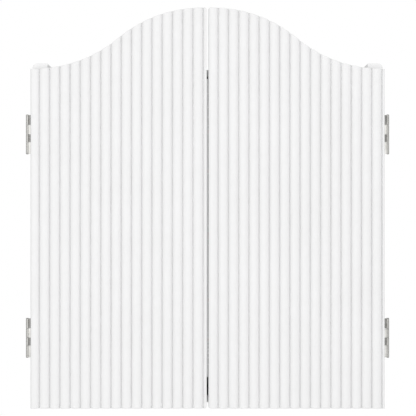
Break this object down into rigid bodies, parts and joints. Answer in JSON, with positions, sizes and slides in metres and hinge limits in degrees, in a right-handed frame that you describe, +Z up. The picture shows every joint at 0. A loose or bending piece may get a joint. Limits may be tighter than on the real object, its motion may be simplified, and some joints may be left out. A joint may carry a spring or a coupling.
{
  "type": "dart board cabinet",
  "caption": "Wall-hung dart board cabinet with reeded, arch-topped double doors on butt hinges, score boards and dart racks inside, and a dart board on a bracket.",
  "frame": {"origin": "on the wall plane (rear face of the back panel), straight behind the bull of the dart board", "axes": "+Y into the wall, so the doors face -Y; +Z up; +X to the right of someone facing the doors"},
  "size_m": [0.5696, 0.1108, 0.6227],
  "materials": {
    "door_paint": "satin white paint",
    "carcass_paint": "satin white paint",
    "back_paint": "matt white paint",
    "frame_paint": "satin white paint",
    "chalkboard": "matt chalkboard paint",
    "beech": "clear lacquer over beech",
    "sisal": "dyed, compressed sisal fibre",
    "chipboard": "raw chipboard",
    "rim_steel": "black painted steel band",
    "spider_wire": "bright wire",
    "zinc_steel": "zinc plated",
    "hinge_nickel": "satin nickel",
    "catch_plastic": "moulded white plastic"
  },
  "bodies": {
    "carcass": {"side_panel_left": "carcass_paint", "side_panel_right": "carcass_paint", "top_panel": "carcass_paint", "bottom_panel": "carcass_paint", "back_panel": "back_paint", "hanging_rail_top": "back_paint", "hanging_rail_bottom": "back_paint", "board_bracket": "zinc_steel", "bracket_screw_1": "zinc_steel", "bracket_screw_2": "zinc_steel", "magnetic_catch_left": "catch_plastic", "magnetic_catch_right": "catch_plastic", "cabinet_leaf_upper_left": "hinge_nickel", "hinge_pin_upper_left": "hinge_nickel", "cabinet_screw_upper_left_1": "hinge_nickel", "cabinet_screw_upper_left_2": "hinge_nickel", "cabinet_leaf_lower_left": "hinge_nickel", "hinge_pin_lower_left": "hinge_nickel", "cabinet_screw_lower_left_1": "hinge_nickel", "cabinet_screw_lower_left_2": "hinge_nickel", "cabinet_leaf_upper_right": "hinge_nickel", "hinge_pin_upper_right": "hinge_nickel", "cabinet_screw_upper_right_1": "hinge_nickel", "cabinet_screw_upper_right_2": "hinge_nickel", "cabinet_leaf_lower_right": "hinge_nickel", "hinge_pin_lower_right": "hinge_nickel", "cabinet_screw_lower_right_1": "hinge_nickel", "cabinet_screw_lower_right_2": "hinge_nickel"},
    "left_door": {"door_panel_left": "door_paint", "strike_plate_left": "zinc_steel", "score_frame_left": "frame_paint", "score_board_left": "chalkboard", "dart_rack_left": "beech", "door_leaf_upper_left": "hinge_nickel", "door_screw_upper_left_1": "hinge_nickel", "door_screw_upper_left_2": "hinge_nickel", "door_leaf_lower_left": "hinge_nickel", "door_screw_lower_left_1": "hinge_nickel", "door_screw_lower_left_2": "hinge_nickel", "meeting_strip": "door_paint"},
    "right_door": {"door_panel_right": "door_paint", "strike_plate_right": "zinc_steel", "score_frame_right": "frame_paint", "score_board_right": "chalkboard", "dart_rack_right": "beech", "door_leaf_upper_right": "hinge_nickel", "door_screw_upper_right_1": "hinge_nickel", "door_screw_upper_right_2": "hinge_nickel", "door_leaf_lower_right": "hinge_nickel", "door_screw_lower_right_1": "hinge_nickel", "door_screw_lower_right_2": "hinge_nickel"},
    "dart_board": {"sisal_disc": "sisal", "backing_disc": "chipboard", "rim_band": "rim_steel", "wire_spider": "spider_wire", "bull_ring": "spider_wire", "number_ring": "spider_wire", "hanging_screw": "zinc_steel"}
  },
  "joints": [
    {"name": "left_door_hinge", "type": "hinge", "parent": "carcass", "child": "left_door", "pos_m": [-0.2827, -0.09145, 0], "axis": [0, 0, -1], "range_deg": [0, 180]},
    {"name": "right_door_hinge", "type": "hinge", "parent": "carcass", "child": "right_door", "pos_m": [0.2827, -0.09145, 0], "axis": [0, 0, 1], "range_deg": [0, 180]},
    {"name": "board_lift", "type": "slide", "parent": "carcass", "child": "dart_board", "axis": [0, 0, 1], "range_m": [0, 0.018]}
  ]
}
